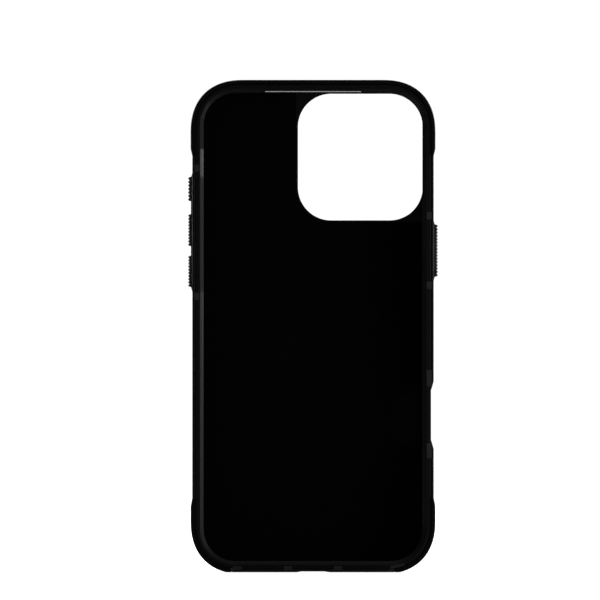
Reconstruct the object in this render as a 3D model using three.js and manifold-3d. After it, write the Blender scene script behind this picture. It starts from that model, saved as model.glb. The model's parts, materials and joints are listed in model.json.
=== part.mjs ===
// A protective case for a large touch-screen phone, as an assembly of separate pieces:
// a soft tray with a front lip, a hard outer shell, three bumpers, a camera guard, a lining,
// a ring of magnets in a carrier, two button surrounds and four push buttons with their plungers.
//
// Every piece is drawn in the case's front view: X to the right, Y up, Z towards the viewer.
// The finished group is turned upright, so that Y becomes +Z and the screen side faces -Y.
// All sizes are in millimetres.

import * as THREE from 'three';
import { mergeVertices } from 'three/addons/utils/BufferGeometryUtils.js';
import Module from 'manifold-3d';

const wasm = await Module();
wasm.setup();

// ---- Fits -------------------------------------------------------------------------------

const GAP = 0.1;              // between pieces that lie against each other
const RUN_GAP = 0.3;          // round anything that moves
const CORNER_STEPS = 10;      // straight steps in each rounded corner
const PAST = 2;               // how far a cutter runs past the faces it cuts

// ---- Heights through the thickness, measured towards the viewer -------------------------

const FRONT = { bumper: 7.2, rim: 6.9, lip: 5.8 };
const LINING = { front: -2.6, back: -2.9 };
const TRAY = { floor: -2.95, back: -4.15 };
const SHELL_PLATE = { inner: -4.25, back: -5.35 };
const BUMPER_BACK = { face: -5.65, flange: -4.95 };
const GUARD_BACK = -7.2;
const PHONE_MIDDLE = (FRONT.lip + LINING.front) / 2;

// ---- Outlines in the front view ---------------------------------------------------------

// Corners are superellipses: a power of 2 is a plain arc, and above 2 runs in more gently.
const SOFT_CORNER = 2.33;
const SHELL = { left: -38.05, right: 38.05, bottom: 0, top: 154.65, corner: 16.15, power: SOFT_CORNER };
const BUMPER = { left: -38.6, right: 38.6, bottom: -0.76, top: 155.2, corner: 16.75, power: SOFT_CORNER };
const BAY = { left: -36, right: 36, bottom: 2.25, top: 152.35, corner: 14, power: SOFT_CORNER };
const SCREEN = { left: -34.4, right: 34.4, bottom: 3.35, top: 151.1, corner: 10.2, power: 2 };
const CAMERA = { left: -4.75, right: 34.75, bottom: 111, top: 151.1, corner: 10.5, power: 2 };

const SHELL_WALL = 0.75;
const SHELL_EDGE = 1.4;       // rounding of the shell's and bumpers' back edge
const FRONT_ROUND = 0.8;      // how much of that rounding shows on a bumper's front edge
const LIP_BEVEL = { width: 1.2, height: 0.8 };
const EARPIECE = { halfLength: 15.1, bottom: 151.45, top: 151.95, depth: 0.5 };
const GUARD_WALL = 1.3;
const GUARD_EDGE = 0.5;
const LINING_MARGIN = 0.6;    // from the lining's edge to the bay's wall

// ---- Bumpers ----------------------------------------------------------------------------

const FLANGE = 3.4;           // how far a bumper reaches over the back
const TOP_STEP = { waist: 131.3, full: 133.5 };
const BOTTOM_STEP = { waist: 23.3, full: 20.7 };
const BOTTOM_END = 25.8;      // where a lower bumper ends, from the middle
const FLANGE_SLANT = 3.2;

// ---- Openings ---------------------------------------------------------------------------

const PORT = { x: 0, length: 12.6, height: 6.8 };
const MICROPHONE = { x: -15.75, length: 12.5, height: 2.8 };
const SPEAKER = { x: 16.9, length: 14.6, height: 2.8 };
const PORT_SCOOP = { half: 5.2, floor: 3.7, depth: 0.25 };
const TOUCH_KEY = { y: 49.6, length: 16.8, height: 5.2 };
const TOUCH_SCOOP = { x: 37.27, bottom: 41.6, top: 57.4, slant: 4.5 };

// ---- Locking tabs of the shell, which show in the front rim beside each opening ---------

const TAB = { inner: 35.85, outer: 37.45, back: 6.05, low: 0.5, high: 1.95 };
const LEFT_TABS = [[85.8, 88.1], [126.3, 128.5]];
const RIGHT_TABS = [[35.9, 40.6], [58.6, 63.8], [89.2, 91.6], [111.2, 113.6]];
const BOTTOM_TABS = [[-25.3, -22.4], [-9.2, -6.6], [6.6, 9.2]];
const CORNER_TAB = {
  lower: [[24.4, 0.5], [25.5, 0.5], [25.5, 1.25], [28.8, 2.05]],
  upper: [[28.8, 2.8], [24.4, 1.95]],
};

// ---- Buttons ----------------------------------------------------------------------------

const PAD = { inner: 37.35, outer: 38.5, half: 4, slant: 1.6 };
const CAP = { inner: 37.9, outer: 39.42, half: 2.1, drop: 0.55, run: 1.6 };
const TOOTH = { pitch: 1.03, depth: 0.25 };
const STEM = { inner: 36.8, half: 1.3, margin: 1.2 };
const PLUNGER = { inner: 36.05, outer: 36.75, half: 1.9, margin: 0.4 };
const POCKET_OUTER = 36.85;

const SIDES = [
  {
    side: -1,
    pad: { name: 'left_button_surround', bottom: 88.3, top: 126 },
    buttons: [
      { name: 'volume_down', bottom: 89.9, top: 99.8 },
      { name: 'volume_up', bottom: 102.8, top: 112.9 },
      { name: 'action', bottom: 117, top: 124.7 },
    ],
  },
  {
    side: 1,
    pad: { name: 'right_button_surround', bottom: 91.8, top: 111 },
    buttons: [{ name: 'side', bottom: 93.15, top: 109.65 }],
  },
];

// ---- Magnets ----------------------------------------------------------------------------

const RING = { y: (BAY.bottom + BAY.top) / 2, inner: 22.6, outer: 27.9, pocket: 0.2 };
const MAGNET = { count: 18, inner: 23.2, outer: 27.3, spread: 17, back: -4.2, front: -3.45 };
const KEY_MAGNET = { y: RING.y - 37.5, half: 3, length: 13 };

// ---- Finishes ---------------------------------------------------------------------------

const FINISH = {
  softBlack: { color: 0x111213, roughness: 0.75, metalness: 0 },
  smokeShell: { color: 0x1b1d1f, roughness: 0.32, metalness: 0 },
  bumperBlack: { color: 0x0e0f10, roughness: 0.8, metalness: 0 },
  buttonBlack: { color: 0x151617, roughness: 0.55, metalness: 0 },
  guardBlack: { color: 0x17181a, roughness: 0.28, metalness: 0 },
  microfibre: { color: 0x1c1d1f, roughness: 1, metalness: 0 },
  carrier: { color: 0x2b2c2e, roughness: 0.6, metalness: 0 },
  nickel: { color: 0xa9a8a4, roughness: 0.3, metalness: 1 },
};

// ---- Outlines and solids ----------------------------------------------------------------

/** The same outline moved inwards by a distance, or outwards by a negative one. */
function inset(outline, distance) {
  return {
    left: outline.left + distance,
    right: outline.right - distance,
    bottom: outline.bottom + distance,
    top: outline.top - distance,
    corner: outline.corner - distance,
    power: outline.power,
  };
}

/** A closed shape with four equal rounded corners. */
function outlineShape({ left, right, bottom, top, corner, power }) {
  const reach = (part) => corner * Math.sign(part) * Math.abs(part) ** (2 / power);
  const centres = [
    [right - corner, bottom + corner],
    [right - corner, top - corner],
    [left + corner, top - corner],
    [left + corner, bottom + corner],
  ];
  const points = centres.flatMap(([x, y], quarter) =>
    Array.from({ length: CORNER_STEPS + 1 }, (_, step) => {
      const angle = (quarter - 1 + step / CORNER_STEPS) * Math.PI / 2;
      return new THREE.Vector2(x + reach(Math.cos(angle)), y + reach(Math.sin(angle)));
    }));
  return new THREE.Shape(points);
}

/** An outline given by its middle and its size, with plain round corners. */
function slotOutline(x, y, width, height, corner) {
  return {
    left: x - width / 2,
    right: x + width / 2,
    bottom: y - height / 2,
    top: y + height / 2,
    corner,
    power: 2,
  };
}

function polygon(points) {
  return new THREE.Shape(points.map(([x, y]) => new THREE.Vector2(x, y)));
}

/** A closed three.js geometry as a solid that can be cut and joined. */
function solid(geometry) {
  geometry.deleteAttribute('normal');
  geometry.deleteAttribute('uv');
  const merged = mergeVertices(geometry, 1e-5);
  return new wasm.Manifold(new wasm.Mesh({
    numProp: 3,
    vertProperties: Float32Array.from(merged.attributes.position.array),
    triVerts: Uint32Array.from(merged.index.array),
  }));
}

/** A shape pushed straight through from one height to another. */
function prismGeometry(shape, back, front) {
  const options = { depth: front - back, bevelEnabled: false, curveSegments: 2 };
  return new THREE.ExtrudeGeometry(shape, options).translate(0, 0, back);
}

function prism(shape, back, front) {
  return solid(prismGeometry(shape, back, front));
}

/** A prism whose two ends are rounded off inside its own outline. */
function roundedPrism(shape, back, front, edge, segments = 3) {
  const geometry = new THREE.ExtrudeGeometry(shape, {
    depth: front - back - 2 * edge,
    bevelThickness: edge,
    bevelSize: edge,
    bevelOffset: -edge,
    bevelSegments: segments,
  });
  return solid(geometry.translate(0, 0, back + edge));
}

function box([x0, x1], [y0, y1], [z0, z1]) {
  const geometry = new THREE.BoxGeometry(Math.abs(x1 - x0), y1 - y0, z1 - z0);
  return solid(geometry.translate((x0 + x1) / 2, (y0 + y1) / 2, (z0 + z1) / 2));
}

/** A rounded slot that runs along X through a side wall, level with the phone's middle. */
function sideSlot(from, to, y, length, height, corner) {
  const shape = outlineShape(slotOutline(0, 0, height, length, corner));
  const geometry = prismGeometry(shape, 0, to - from).rotateY(Math.PI / 2);
  return solid(geometry.translate(from, y, PHONE_MIDDLE));
}

/** A rounded slot that runs along Y through the bottom wall. */
function bottomSlot({ x, length, height }, spare = 0) {
  const corner = height / 2 * 0.98;
  const shape = outlineShape(slotOutline(0, 0, length + 2 * spare, height + 2 * spare, corner));
  const geometry = prismGeometry(shape, 0, BAY.bottom + 2 * PAST).rotateX(-Math.PI / 2);
  return solid(geometry.translate(x, -PAST, PHONE_MIDDLE));
}

/** A box whose X range is given outwards from the middle, on the left or the right side. */
function wallBox(side, [inner, outer], yRange, halfHeight) {
  const xRange = side > 0 ? [inner, outer] : [-outer, -inner];
  return box(xRange, yRange, [PHONE_MIDDLE - halfHeight, PHONE_MIDDLE + halfHeight]);
}

/** Back to a geometry that a mesh can show. */
function geometryOf(manifold) {
  const mesh = manifold.getMesh();
  const geometry = new THREE.BufferGeometry();
  geometry.setAttribute('position', new THREE.BufferAttribute(mesh.vertProperties, 3));
  geometry.setIndex(new THREE.BufferAttribute(mesh.triVerts, 1));
  geometry.computeVertexNormals();
  return geometry;
}

const phoneCase = new THREE.Group();
phoneCase.rotation.x = Math.PI / 2;

function addPiece(name, manifold, finish) {
  const mesh = new THREE.Mesh(geometryOf(manifold), new THREE.MeshStandardMaterial(finish));
  mesh.name = name;
  phoneCase.add(mesh);
}

// ---- Bumpers ----------------------------------------------------------------------------

/** The whole ring that the bumpers are cut from, or with a spare gap the room that it needs. */
function bumperRing(spare = 0) {
  const grown = spare > 0 ? PAST : 0;
  const outer = roundedPrism(
    outlineShape(inset(BUMPER, -grown)),
    BUMPER_BACK.face - grown,
    FRONT.bumper - FRONT_ROUND + SHELL_EDGE + grown,
    SHELL_EDGE,
  );
  const hollow = prism(
    outlineShape(inset(SHELL, SHELL_WALL + spare)), BUMPER_BACK.flange + spare, FRONT.bumper + 2 * PAST);
  const backOpening = prism(
    outlineShape(inset(BUMPER, FLANGE + spare)), BUMPER_BACK.face - 2 * PAST, FRONT.rim);
  const aboveFront = prism(
    outlineShape(inset(BUMPER, -2 * PAST)), FRONT.bumper + grown, FRONT.bumper + 3 * PAST);
  return outer.subtract(hollow).subtract(backOpening).subtract(aboveFront);
}

/** The stretch of the ring that a bumper covers, in the front view, as its corner points. */
function topZone(spare = 0) {
  const { waist, full } = TOP_STEP;
  const beyond = BUMPER.right + 2 * PAST;
  const half = [
    [beyond, full - spare],
    [BUMPER.right, full - spare],
    [SHELL.right, waist - spare],
    [SHELL.right - SHELL_WALL - GAP, waist - spare],
    [SHELL.right - SHELL_WALL - GAP - FLANGE_SLANT, waist + FLANGE_SLANT - spare],
  ];
  const mirrored = half.map(([x, y]) => [-x, y]).reverse();
  return [...half.reverse(), [beyond, BUMPER.top + 2 * PAST], [-beyond, BUMPER.top + 2 * PAST],
    ...mirrored.reverse()];
}

function bottomZone(side, spare = 0) {
  const { waist, full } = BOTTOM_STEP;
  const beyond = BUMPER.right + 2 * PAST;
  const end = BOTTOM_END - spare;
  const low = spare > 0 ? -PAST : 0;
  const corner = SHELL.right - SHELL_WALL - GAP;
  const right = [
    [end, low],
    [beyond, low],
    [beyond, full + spare],
    [BUMPER.right, full + spare],
    [SHELL.right, waist + spare],
    [corner, waist + spare],
    [corner - FLANGE_SLANT, waist - FLANGE_SLANT + spare],
    [end - FLANGE_SLANT, waist - FLANGE_SLANT + spare],
    [end - FLANGE_SLANT, 2 * SHELL_WALL + FLANGE_SLANT],
    [end, 2 * SHELL_WALL],
  ];
  return side > 0 ? right : right.map(([x, y]) => [-x, y]).reverse();
}

function zonePrism(points) {
  return prism(polygon(points), GUARD_BACK - 2 * PAST, FRONT.bumper + 2 * PAST);
}

const guardOutline = inset(CAMERA, -GUARD_WALL);
const guardRoom = prism(outlineShape(inset(guardOutline, -GAP)), GUARD_BACK - PAST, TRAY.back);
const ring = bumperRing();
const ringRoom = bumperRing(GAP);

addPiece('top_bumper', ring.intersect(zonePrism(topZone())).subtract(guardRoom), FINISH.bumperBlack);
for (const [name, side] of [['bottom_left_bumper', -1], ['bottom_right_bumper', 1]]) {
  addPiece(name, ring.intersect(zonePrism(bottomZone(side))), FINISH.bumperBlack);
}

// ---- Openings that the shell and the tray share -----------------------------------------

const touchKeySlot = sideSlot(
  BAY.right - PAST, SHELL.right + PAST, TOUCH_KEY.y, TOUCH_KEY.length, TOUCH_KEY.height,
  TOUCH_KEY.height / 2 * 0.98);

function sharedSlots(spare) {
  return [PORT, MICROPHONE, SPEAKER].map((slot) => bottomSlot(slot, spare));
}

/** The shell's locking tabs, or with a spare gap the recesses in the tray that take them. */
function lockingTabs(spare = 0) {
  const heights = [TAB.back - spare, FRONT.rim + (spare > 0 ? PAST : 0)];
  const tabs = [];
  for (const [side, places] of [[-1, LEFT_TABS], [1, RIGHT_TABS]]) {
    for (const [low, high] of places) {
      const xs = [TAB.inner - spare, TAB.outer + spare];
      tabs.push(box(side > 0 ? xs : [-xs[1], -xs[0]], [low - spare, high + spare], heights));
    }
  }
  for (const [from, to] of BOTTOM_TABS) {
    tabs.push(box([from - spare, to + spare], [TAB.low - spare, TAB.high + spare], heights));
  }
  const { lower, upper } = CORNER_TAB;
  const [near] = lower[0];
  const sideways = (x) => x + (x === near ? -spare : spare);
  const cornerTab = [
    ...lower.map(([x, y]) => [sideways(x), y - spare]),
    ...upper.map(([x, y]) => [sideways(x), y + spare]),
  ];
  tabs.push(prism(polygon(cornerTab), ...heights));
  return tabs;
}

// ---- Hard shell -------------------------------------------------------------------------

function hardShell() {
  const blank = roundedPrism(
    outlineShape(SHELL), SHELL_PLATE.back, FRONT.rim - FRONT_ROUND / 2 + SHELL_EDGE, SHELL_EDGE);
  const hollow = prism(
    outlineShape(inset(SHELL, SHELL_WALL)), SHELL_PLATE.inner, FRONT.rim + 2 * PAST);
  const aboveRim = prism(outlineShape(inset(SHELL, -PAST)), FRONT.rim, FRONT.rim + 2 * PAST);
  let shell = blank.subtract(hollow).subtract(aboveRim);
  for (const points of [topZone(GAP), bottomZone(-1, GAP), bottomZone(1, GAP)]) {
    shell = shell.subtract(ringRoom.intersect(zonePrism(points)));
  }
  for (const tab of lockingTabs()) {
    shell = shell.add(tab);
  }
  const { x, bottom, top, slant } = TOUCH_SCOOP;
  const rise = slant * (PAST + SHELL.right - x) / (SHELL.right - x) * 0.8;
  const touchScoop = polygon([
    [x, bottom], [x + PAST, bottom - rise], [x + PAST, top + rise], [x, top],
  ]);
  const { half, floor, depth } = PORT_SCOOP;
  const portScoop = polygon([[-half, -PAST], [half, -PAST], [half, 0], [floor, depth], [-floor, depth],
    [-half, 0]]);
  const cuts = [guardRoom, zonePrism(topZone()).intersect(guardRoom), ...sharedSlots(0)];
  for (const scoop of [touchScoop, portScoop]) {
    cuts.push(prism(scoop, GUARD_BACK, FRONT.bumper));
  }
  for (const { side, pad } of SIDES) {
    const xs = [SHELL.right - SHELL_WALL - GAP, SHELL.right + PAST];
    cuts.push(wallBox(side, xs, [pad.bottom - GAP, pad.top + GAP], PAD.half + GAP));
  }
  return cuts.reduce((whole, cut) => whole.subtract(cut), shell);
}

addPiece('hard_shell', hardShell(), FINISH.smokeShell);

// ---- Soft tray --------------------------------------------------------------------------

const buttonLength = ({ bottom, top }, margin) => [bottom + margin, top - margin];

function buttonPockets() {
  const pockets = [];
  for (const { side, buttons } of SIDES) {
    for (const button of buttons) {
      pockets.push(wallBox(side, [BAY.right - PAST, POCKET_OUTER],
        buttonLength(button, PLUNGER.margin - RUN_GAP), PLUNGER.half + RUN_GAP));
      pockets.push(wallBox(side, [BAY.right, SHELL.right],
        buttonLength(button, STEM.margin - RUN_GAP), STEM.half + RUN_GAP));
    }
  }
  return pockets;
}

/** A flat ring round the phone's middle. */
function flatRing(inner, outer, back, front) {
  const shape = new THREE.Shape().absarc(0, RING.y, outer, 0, 2 * Math.PI);
  shape.holes.push(new THREE.Path().absarc(0, RING.y, inner, 0, 2 * Math.PI, true));
  const options = { depth: front - back, bevelEnabled: false, curveSegments: 24 };
  return solid(new THREE.ExtrudeGeometry(shape, options).translate(0, 0, back));
}

function keyMagnet(spare = 0) {
  const { y, half, length } = KEY_MAGNET;
  return box([-half - spare, half + spare], [y - length / 2 - spare, y + length / 2 + spare],
    [MAGNET.back - (spare > 0 ? PAST : 0), MAGNET.front + spare]);
}

function softTray() {
  const blank = prism(outlineShape(inset(SHELL, SHELL_WALL + GAP)), TRAY.back, FRONT.rim);
  const bevelled = new THREE.ExtrudeGeometry(outlineShape(inset(SCREEN, -LIP_BEVEL.width)), {
    depth: PAST,
    bevelThickness: LIP_BEVEL.height,
    bevelSize: LIP_BEVEL.width,
    bevelOffset: -LIP_BEVEL.width,
    bevelSegments: 1,
  });
  const cuts = [
    prism(outlineShape(BAY), TRAY.floor, FRONT.lip),
    prism(outlineShape(SCREEN), FRONT.lip - PAST, FRONT.rim - LIP_BEVEL.height + GAP),
    solid(bevelled.translate(0, 0, FRONT.rim)),
    prism(outlineShape(CAMERA), TRAY.back - PAST, TRAY.floor + PAST),
    box([-EARPIECE.halfLength, EARPIECE.halfLength], [EARPIECE.bottom, EARPIECE.top],
      [FRONT.rim - EARPIECE.depth, FRONT.rim + PAST]),
    touchKeySlot,
    flatRing(RING.inner - RING.pocket, RING.outer + RING.pocket, TRAY.back - PAST,
      MAGNET.front + GAP),
    keyMagnet(GAP),
    ...sharedSlots(GAP),
    ...buttonPockets(),
    ...lockingTabs(GAP),
  ];
  return cuts.reduce((whole, cut) => whole.subtract(cut), blank);
}

addPiece('soft_tray', softTray(), FINISH.softBlack);

// ---- Camera guard and lining ------------------------------------------------------------

const guard = roundedPrism(outlineShape(guardOutline), GUARD_BACK, SHELL_PLATE.inner + GUARD_EDGE,
  GUARD_EDGE, 2)
  .subtract(prism(outlineShape(CAMERA), GUARD_BACK - PAST, TRAY.back))
  .subtract(prism(outlineShape(inset(guardOutline, -PAST)), SHELL_PLATE.inner, TRAY.back + PAST));
addPiece('camera_guard', guard, FINISH.guardBlack);

const notch = { ...inset(CAMERA, -LINING_MARGIN), right: BAY.right + BAY.corner, top: BAY.top + BAY.corner };
const lining = prism(outlineShape(inset(BAY, LINING_MARGIN)), LINING.back, LINING.front)
  .subtract(prism(outlineShape(notch), LINING.back - PAST, LINING.front + PAST));
addPiece('back_lining', lining, FINISH.microfibre);

// ---- Magnets ----------------------------------------------------------------------------

/** An arc-shaped block of the magnet ring, centred on its place in the ring. */
function arcBlock(place, spare = 0, past = 0) {
  const turn = 2 * Math.PI * (place + 0.5) / MAGNET.count;
  const halfSpread = THREE.MathUtils.degToRad(MAGNET.spread / 2);
  const outer = MAGNET.outer + spare;
  const inner = MAGNET.inner - spare;
  const from = turn - halfSpread;
  const to = turn + halfSpread;
  const shape = new THREE.Shape().absarc(0, RING.y, outer, from - spare / outer, to + spare / outer);
  shape.absarc(0, RING.y, inner, to + spare / inner, from - spare / inner, true);
  return prism(shape, MAGNET.back - past, MAGNET.front + past);
}

let carrier = flatRing(RING.inner, RING.outer, MAGNET.back, MAGNET.front);
for (let place = 0; place < MAGNET.count; place += 1) {
  const number = String(place + 1).padStart(2, '0');
  addPiece(`magnet_${number}`, arcBlock(place), FINISH.nickel);
  carrier = carrier.subtract(arcBlock(place, GAP, PAST));
}
addPiece('magnet_carrier', carrier, FINISH.carrier);
addPiece('alignment_magnet', keyMagnet(), FINISH.nickel);

// ---- Buttons ----------------------------------------------------------------------------

/** The grip surface of a button: saw teeth that fall away towards both ends. */
function toothedCap(side, { bottom, top }) {
  const count = Math.round((top - bottom) / TOOTH.pitch);
  const points = [[CAP.inner, bottom]];
  for (let step = 0; step <= 2 * count; step += 1) {
    const y = bottom + (top - bottom) * step / (2 * count);
    const fromEnd = Math.min(y - bottom, top - y);
    const crest = CAP.outer - CAP.drop * Math.max(0, 1 - fromEnd / CAP.run) ** 2;
    points.push([step % 2 === 0 ? crest - TOOTH.depth : crest, y]);
  }
  points.push([CAP.inner, top]);
  const placed = side > 0 ? points : points.map(([x, y]) => [-x, y]);
  return prism(polygon(placed), PHONE_MIDDLE - CAP.half, PHONE_MIDDLE + CAP.half);
}

function buttonSurround(side, { bottom, top }, buttons) {
  const points = [
    [PAD.inner, bottom],
    [SHELL.right, bottom],
    [PAD.outer, bottom + PAD.slant],
    [PAD.outer, top - PAD.slant],
    [SHELL.right, top],
    [PAD.inner, top],
  ];
  const placed = side > 0 ? points : points.map(([x, y]) => [-x, y]);
  const blank = prism(polygon(placed), PHONE_MIDDLE - PAD.half, PHONE_MIDDLE + PAD.half);
  return buttons.reduce((whole, button) => whole.subtract(wallBox(side,
    [PAD.inner - PAST, CAP.outer], buttonLength(button, -RUN_GAP), CAP.half + RUN_GAP)), blank);
}

for (const { side, pad, buttons } of SIDES) {
  addPiece(pad.name, buttonSurround(side, pad, buttons), FINISH.bumperBlack);
  for (const button of buttons) {
    const stem = wallBox(side, [STEM.inner, CAP.inner + GAP], buttonLength(button, STEM.margin),
      STEM.half);
    addPiece(`${button.name}_button`, toothedCap(side, button).add(stem), FINISH.buttonBlack);
    const plunger = wallBox(side, [PLUNGER.inner, PLUNGER.outer],
      buttonLength(button, PLUNGER.margin), PLUNGER.half);
    addPiece(`${button.name}_button_plunger`, plunger, FINISH.softBlack);
  }
}

export default phoneCase;
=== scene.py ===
"""A protective case for a large touch-screen phone, finished round its measured frame.

The case stands on its lower edge with the open side towards -Y. Shapes are drawn in its front
view: X to the right, height upwards, and depth towards the viewer. All lengths are in metres.
"""

import json
import math

import bmesh
import bpy
from bpy.props import FloatProperty, FloatVectorProperty, IntProperty, PointerProperty
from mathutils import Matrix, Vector


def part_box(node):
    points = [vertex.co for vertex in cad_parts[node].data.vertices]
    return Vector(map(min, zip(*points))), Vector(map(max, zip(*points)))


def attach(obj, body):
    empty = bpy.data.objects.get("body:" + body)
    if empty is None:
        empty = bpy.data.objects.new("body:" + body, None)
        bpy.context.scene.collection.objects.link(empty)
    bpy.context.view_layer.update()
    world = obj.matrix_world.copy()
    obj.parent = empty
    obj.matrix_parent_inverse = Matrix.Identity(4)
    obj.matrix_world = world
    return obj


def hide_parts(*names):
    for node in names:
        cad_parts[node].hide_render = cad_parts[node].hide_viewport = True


bl_info = {
    "name": "Phone case",
    "version": (1, 0, 0),
    "blender": (4, 5, 0),
    "location": "3D View > Sidebar > Phone case",
    "description": "Builds a two-layer phone case with bumpers, push buttons and a magnet ring",
    "category": "Add Mesh",
}

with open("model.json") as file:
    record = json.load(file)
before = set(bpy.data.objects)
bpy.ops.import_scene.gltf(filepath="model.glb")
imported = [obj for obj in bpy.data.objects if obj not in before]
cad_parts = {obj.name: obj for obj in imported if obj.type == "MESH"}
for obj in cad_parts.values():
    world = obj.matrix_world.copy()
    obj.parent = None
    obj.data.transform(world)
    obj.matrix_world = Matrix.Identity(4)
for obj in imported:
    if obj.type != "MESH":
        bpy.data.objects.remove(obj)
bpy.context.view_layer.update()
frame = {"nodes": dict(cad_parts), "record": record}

MM = 0.001

# ---- Fits and fine rounding ------------------------------------------------------------------

GAP = 0.1 * MM                # between pieces that lie against each other
RUN_GAP = 0.3 * MM            # round anything that moves
PAST = 2 * MM                 # how far a cutter runs past the faces it cuts
CORNER_STEPS = 22             # straight steps in each rounded corner
ROUND_STEPS = 5               # straight steps in each rounded edge
SMOOTH_BELOW = math.radians(33)
EASE_ABOVE = math.radians(40)
LEAST_CORNER = 0.05 * MM


# ---- Ways to look at a drawing ---------------------------------------------------------------

def front_view(across, up, out):
    """A point drawn in the front view, with out towards the viewer."""
    return Vector((across, -out, up))


def side_view(depth, up, out):
    """A point drawn looking along X, with out towards +X and depth towards the viewer's side."""
    return Vector((out, -depth, up))


def bottom_view(across, depth, up):
    """A point drawn looking up at the lower edge, with depth towards the open side."""
    return Vector((across, -depth, up))


def drawn_box(node):
    """The lowest and highest corners of a CAD node, as (across, up, out) in the front view."""
    low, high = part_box(node)
    return Vector((low.x, low.z, -high.y)), Vector((high.x, high.z, -low.y))


class Outline:
    """A closed outline with four equal corners; a power of 2 is a plain arc, above it is softer."""

    def __init__(self, left, right, bottom, top, corner, power=2.0):
        self.left = left
        self.right = right
        self.bottom = bottom
        self.top = top
        self.corner = corner
        self.power = power

    @classmethod
    def centred(cls, middle, size, corner, power=2.0):
        """An outline given by its middle and its size."""
        (x, y), (width, height) = middle, size
        return cls(x - width / 2, x + width / 2, y - height / 2, y + height / 2, corner, power)

    def inset(self, sides, ends=None):
        """The outline moved inwards, by another distance at its two ends if one is given."""
        ends = sides if ends is None else ends
        corner = max(self.corner - min(sides, ends), LEAST_CORNER)
        return Outline(self.left + sides, self.right - sides, self.bottom + ends, self.top - ends,
                       corner, self.power)

    def points(self, steps=CORNER_STEPS):
        """Its points anticlockwise, from the lower right corner."""
        found = []
        corners = [(self.right, self.bottom, 1, -1), (self.right, self.top, 1, 1),
                   (self.left, self.top, -1, 1), (self.left, self.bottom, -1, -1)]
        for quarter, (x, y, right, up) in enumerate(corners):
            centre_x, centre_y = x - right * self.corner, y - up * self.corner
            for step in range(steps + 1):
                angle = (quarter - 1 + step / steps) * math.pi / 2
                found.append((centre_x + self.reach(math.cos(angle)),
                              centre_y + self.reach(math.sin(angle))))
        return found

    def reach(self, part):
        """How far a corner's curve is from its centre, along one axis."""
        return self.corner * math.copysign(abs(part) ** (2 / self.power), part)


# ---- Mesh building ---------------------------------------------------------------------------

def new_piece(name, mesh_maker):
    """A new object in the scene, with the mesh that mesh_maker fills in, its faces outwards."""
    mesh = bpy.data.meshes.new(name)
    work = bmesh.new()
    mesh_maker(work)
    bmesh.ops.recalc_face_normals(work, faces=work.faces)
    work.to_mesh(mesh)
    work.free()
    piece = bpy.data.objects.new(name, mesh)
    bpy.context.scene.collection.objects.link(piece)
    return piece


def skin(work, rows, closed):
    """Joins rows of points with faces, and closes the two ends or joins them to each other."""
    rings = [[work.verts.new(point) for point in row] for row in rows]
    following = rings[1:] + rings[:1] if closed else rings[1:]
    for low, high in zip(rings, following):
        for i in range(len(low)):
            j = (i + 1) % len(low)
            work.faces.new((low[i], low[j], high[j], high[i]))
    if not closed:
        work.faces.new(list(reversed(rings[0])))
        work.faces.new(rings[-1])


def loft(name, levels, view=front_view, closed=False, steps=CORNER_STEPS):
    """A solid through levels, each an outline and its height above the drawing."""
    rows = [[view(u, v, height) for u, v in outline.points(steps)] for outline, height in levels]
    return new_piece(name, lambda work: skin(work, rows, closed))


def straight(name, outline, low, high, steps=CORNER_STEPS):
    """A solid with one outline all the way from one height to another."""
    return loft(name, [(outline, low), (outline, high)], steps=steps)


def prism(name, points, low, high):
    """A polygon pushed straight through from one height to another."""
    rows = [[front_view(u, v, height) for u, v in points] for height in (low, high)]
    return new_piece(name, lambda work: skin(work, rows, False))


def rounded_edge(outline, inset, height, radius, start, end, steps=ROUND_STEPS):
    """Levels round an edge: inset and height give the centre, 0 degrees is out and 90 is up."""
    levels = []
    for step in range(steps + 1):
        angle = math.radians(start + (end - start) * step / steps)
        levels.append((outline.inset(inset - radius * math.cos(angle)),
                       height + radius * math.sin(angle)))
    return levels


def flared(outline, inside, face, radius, outward=1):
    """Levels of a cutter that opens out in a rounded mouth where it meets a face."""
    levels = [(outline, inside)]
    for step in range(ROUND_STEPS + 1):
        angle = math.pi / 2 * step / ROUND_STEPS
        levels.append((outline.inset(radius * (math.cos(angle) - 1)),
                       face - outward * radius * (1 - math.sin(angle))))
    levels.append((levels[-1][0], face + outward * PAST))
    return levels


class WallPiece:
    """A CAD node set in one of the case's side walls, seen along X from the case's middle."""

    def __init__(self, node):
        self.low, self.high = drawn_box(node)
        self.side = 1 if self.low.x > 0 else -1
        self.near, self.far = sorted((abs(self.low.x), abs(self.high.x)))

    def outline(self, corner, spare=0):
        """The node's box from the side, or with a spare gap the opening that takes it."""
        return Outline(self.low.z - spare, self.high.z + spare,
                       self.low.y - spare, self.high.y + spare, corner)

    def loft(self, name, levels, steps):
        """A solid through levels whose heights are distances from the case's middle."""
        outwards = [(outline, self.side * height) for outline, height in levels]
        return loft(name, outwards, side_view, steps=steps)


def apply_modifiers(piece):
    """Turns what a piece's modifiers show into its own plain mesh."""
    graph = bpy.context.evaluated_depsgraph_get()
    made = bpy.data.meshes.new_from_object(
        piece.evaluated_get(graph), preserve_all_data_layers=True, depsgraph=graph)
    plain = piece.data
    piece.modifiers.clear()
    piece.data = made
    bpy.data.meshes.remove(plain)
    made.name = piece.name


def remove(piece):
    """Clears a tool away with its mesh."""
    mesh = piece.data
    bpy.data.objects.remove(piece)
    bpy.data.meshes.remove(mesh)


def combine(piece, tools, operation):
    """Cuts, joins or keeps what is common to a piece and each tool, and clears the tools away."""
    for tool in tools:
        modifier = piece.modifiers.new(tool.name, "BOOLEAN")
        modifier.operation = operation
        modifier.solver = "MANIFOLD"
        modifier.object = tool
    apply_modifiers(piece)
    for tool in tools:
        remove(tool)
    return piece


def cut(piece, *tools):
    combine(piece, tools, "DIFFERENCE")


def join(piece, *tools):
    return combine(piece, tools, "UNION")


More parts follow.
